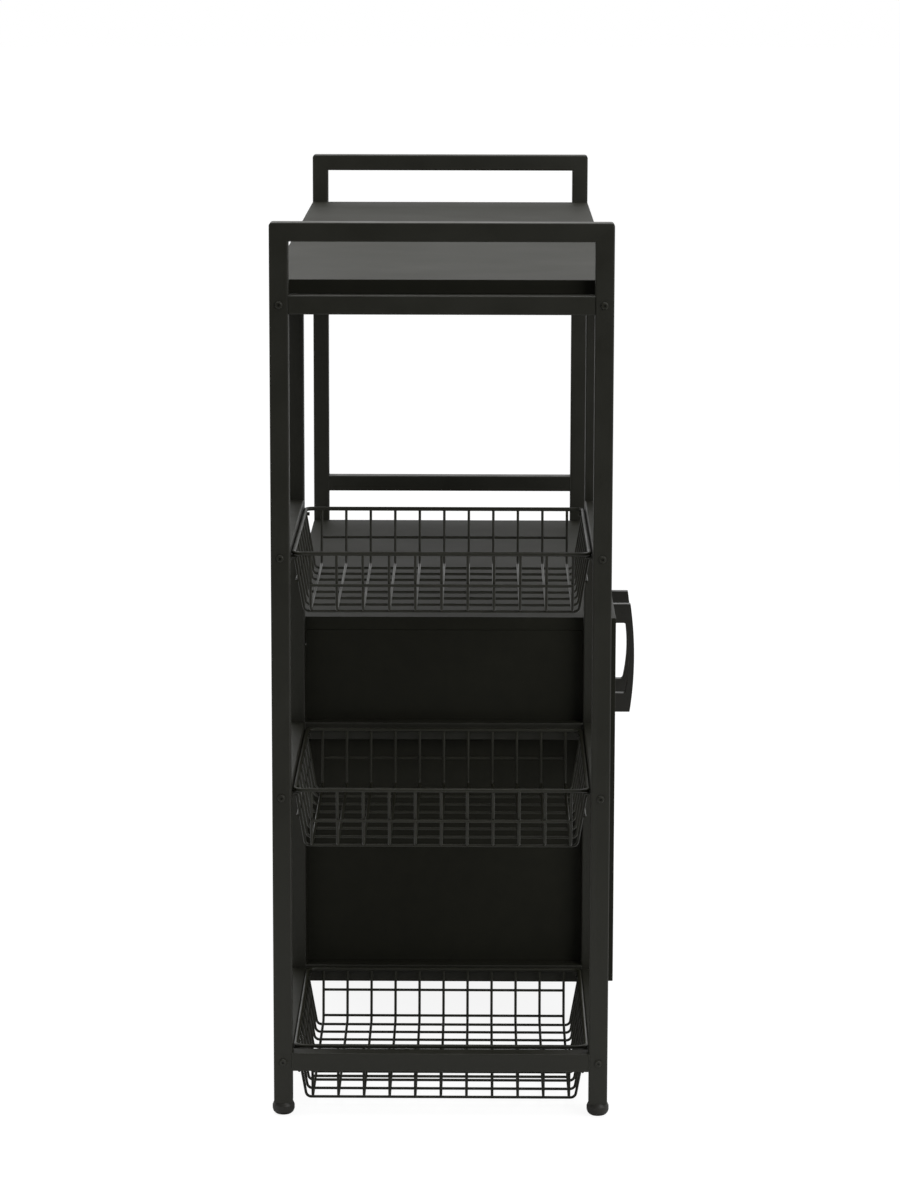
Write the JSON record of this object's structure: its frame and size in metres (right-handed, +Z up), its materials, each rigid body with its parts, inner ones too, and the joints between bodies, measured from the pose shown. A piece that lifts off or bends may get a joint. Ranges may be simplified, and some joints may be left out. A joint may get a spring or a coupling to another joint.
{
  "type": "kitchen storage stand",
  "caption": "Black steel-tube kitchen stand with a raised top shelf, an open appliance bay over a two-door cabinet, and a side column of lift-out wire baskets.",
  "frame": {"origin": "on the floor, under the middle of the outline in plan", "axes": "+X to the right seen from the front, -Y the front with the doors and handles, +Z up"},
  "size_m": [1.1044, 0.413, 0.965],
  "materials": {
    "frame_steel": "black powder coat, satin",
    "basket_wire": "black powder coat, satin",
    "black_bolt": "black oxide",
    "hinge_steel": "zinc plated",
    "board": "black melamine-faced particle board, satin",
    "back_board": "black faced hardboard",
    "foot_plastic": "moulded black plastic",
    "handle_plastic": "moulded black plastic, satin"
  },
  "bodies": {
    "stand": {"left_side_frame": "frame_steel", "middle_frame": "frame_steel", "right_side_frame": "frame_steel", "top_front_rail": "frame_steel", "top_back_rail": "frame_steel", "upper_basket_front_rail": "frame_steel", "upper_basket_back_rail": "frame_steel", "middle_basket_front_rail": "frame_steel", "middle_basket_back_rail": "frame_steel", "lower_basket_front_rail": "frame_steel", "lower_basket_back_rail": "frame_steel", "shelf_front_rail": "frame_steel", "shelf_back_rail": "frame_steel", "base_front_rail": "frame_steel", "base_back_rail": "frame_steel", "top_board": "board", "middle_shelf": "board", "cabinet_floor": "board", "cabinet_left_panel": "board", "cabinet_right_panel": "board", "cabinet_back_panel": "back_board", "feet": "foot_plastic", "left_frame_bolts": "black_bolt", "middle_frame_bolts": "black_bolt", "right_frame_bolts": "black_bolt", "basket_studs": "black_bolt", "magnetic_catch": "foot_plastic", "left_hinge_frame_leaves": "hinge_steel", "right_hinge_frame_leaves": "hinge_steel", "hinge_pins": "hinge_steel"},
    "left_door": {"left_door": "board", "left_handle": "handle_plastic", "left_handle_screws": "hinge_steel", "left_strike_plate": "hinge_steel", "left_hinge_door_leaves": "hinge_steel"},
    "right_door": {"right_door": "board", "right_handle": "handle_plastic", "right_handle_screws": "hinge_steel", "right_strike_plate": "hinge_steel", "right_hinge_door_leaves": "hinge_steel"},
    "upper_basket": {"upper_basket_rim": "basket_wire", "upper_basket_mesh": "basket_wire"},
    "middle_basket": {"middle_basket_rim": "basket_wire", "middle_basket_mesh": "basket_wire"},
    "lower_basket": {"lower_basket_rim": "basket_wire", "lower_basket_mesh": "basket_wire"}
  },
  "joints": [
    {"name": "left_door_hinge", "type": "hinge", "parent": "stand", "child": "left_door", "pos_m": [-0.203, -0.1577, 0.269], "axis": [0, 0, -1], "range_deg": [0, 100]},
    {"name": "right_door_hinge", "type": "hinge", "parent": "stand", "child": "right_door", "pos_m": [0.548, -0.1577, 0.269], "axis": [0, 0, 1], "range_deg": [0, 100]},
    {"name": "upper_basket_lift", "type": "slide", "parent": "stand", "child": "upper_basket", "axis": [0, 0, 1], "range_m": [0, 0.08]},
    {"name": "middle_basket_lift", "type": "slide", "parent": "stand", "child": "middle_basket", "axis": [0, 0, 1], "range_m": [0, 0.08]},
    {"name": "lower_basket_lift", "type": "slide", "parent": "stand", "child": "lower_basket", "axis": [0, 0, 1], "range_m": [0, 0.08]}
  ]
}
